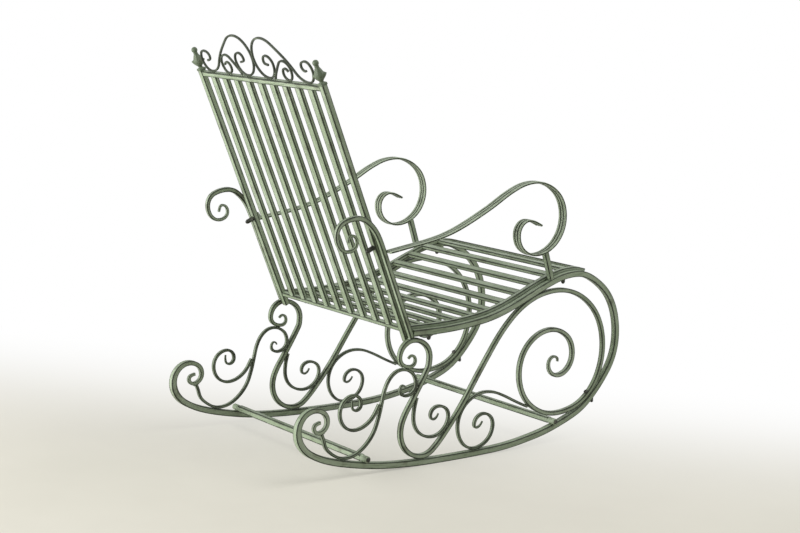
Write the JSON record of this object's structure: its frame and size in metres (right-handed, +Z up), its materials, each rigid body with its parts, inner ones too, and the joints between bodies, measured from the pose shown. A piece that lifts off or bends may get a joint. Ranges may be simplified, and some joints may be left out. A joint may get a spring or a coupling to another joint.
{
  "type": "outdoor rocking chair",
  "caption": "Garden rocking chair of bent metal bars: slatted seat and leaning slatted back between scrolled side frames on curved runners, with curled arms and a scrolled crest.",
  "frame": {"origin": "on the floor, in the middle of the chair's overall length and width", "axes": "+X to the sitter's left, +Y to the rear, +Z up; the sitter faces -Y"},
  "size_m": [0.575, 1.0996, 1.0192],
  "materials": {
    "sage_paint": "worn antique grey-green paint, matt to satin, darker along the corners and in the joints",
    "dark_fasteners": "dark oxidised bolts and nuts, matt"
  },
  "bodies": {
    "root": {"back_bolts": "dark_fasteners", "back_bottom_rail": "sage_paint", "back_slat_1": "sage_paint", "back_slat_2": "sage_paint", "back_slat_3": "sage_paint", "back_slat_4": "sage_paint", "back_slat_5": "sage_paint", "back_slat_6": "sage_paint", "back_slat_7": "sage_paint", "back_slat_8": "sage_paint", "back_slat_9": "sage_paint", "back_tabs": "sage_paint", "back_top_rail": "sage_paint", "cap_nuts": "dark_fasteners", "front_stretcher": "sage_paint", "left_arm_post": "sage_paint", "left_armrest": "sage_paint", "left_back_stile": "sage_paint", "left_crest_curl": "sage_paint", "left_crest_scroll": "sage_paint", "left_finial": "sage_paint", "left_front_c_scroll": "sage_paint", "left_leg_hook_scroll": "sage_paint", "left_rear_hook_scroll": "sage_paint", "left_rear_s_scroll": "sage_paint", "left_rocker_rail": "sage_paint", "left_scroll_leg": "sage_paint", "left_seat_bar": "sage_paint", "left_upright": "sage_paint", "rail_bolts": "dark_fasteners", "rear_stretcher": "sage_paint", "right_arm_post": "sage_paint", "right_armrest": "sage_paint", "right_back_stile": "sage_paint", "right_crest_curl": "sage_paint", "right_crest_scroll": "sage_paint", "right_finial": "sage_paint", "right_front_c_scroll": "sage_paint", "right_leg_hook_scroll": "sage_paint", "right_rear_hook_scroll": "sage_paint", "right_rear_s_scroll": "sage_paint", "right_rocker_rail": "sage_paint", "right_scroll_leg": "sage_paint", "right_seat_bar": "sage_paint", "right_upright": "sage_paint", "seat_bolts": "dark_fasteners", "seat_lugs": "sage_paint", "seat_slat_1": "sage_paint", "seat_slat_10": "sage_paint", "seat_slat_11": "sage_paint", "seat_slat_2": "sage_paint", "seat_slat_3": "sage_paint", "seat_slat_4": "sage_paint", "seat_slat_5": "sage_paint", "seat_slat_6": "sage_paint", "seat_slat_7": "sage_paint", "seat_slat_8": "sage_paint", "seat_slat_9": "sage_paint", "stretcher_bolts": "dark_fasteners", "stretcher_sleeves": "sage_paint"}
  },
  "joints": []
}
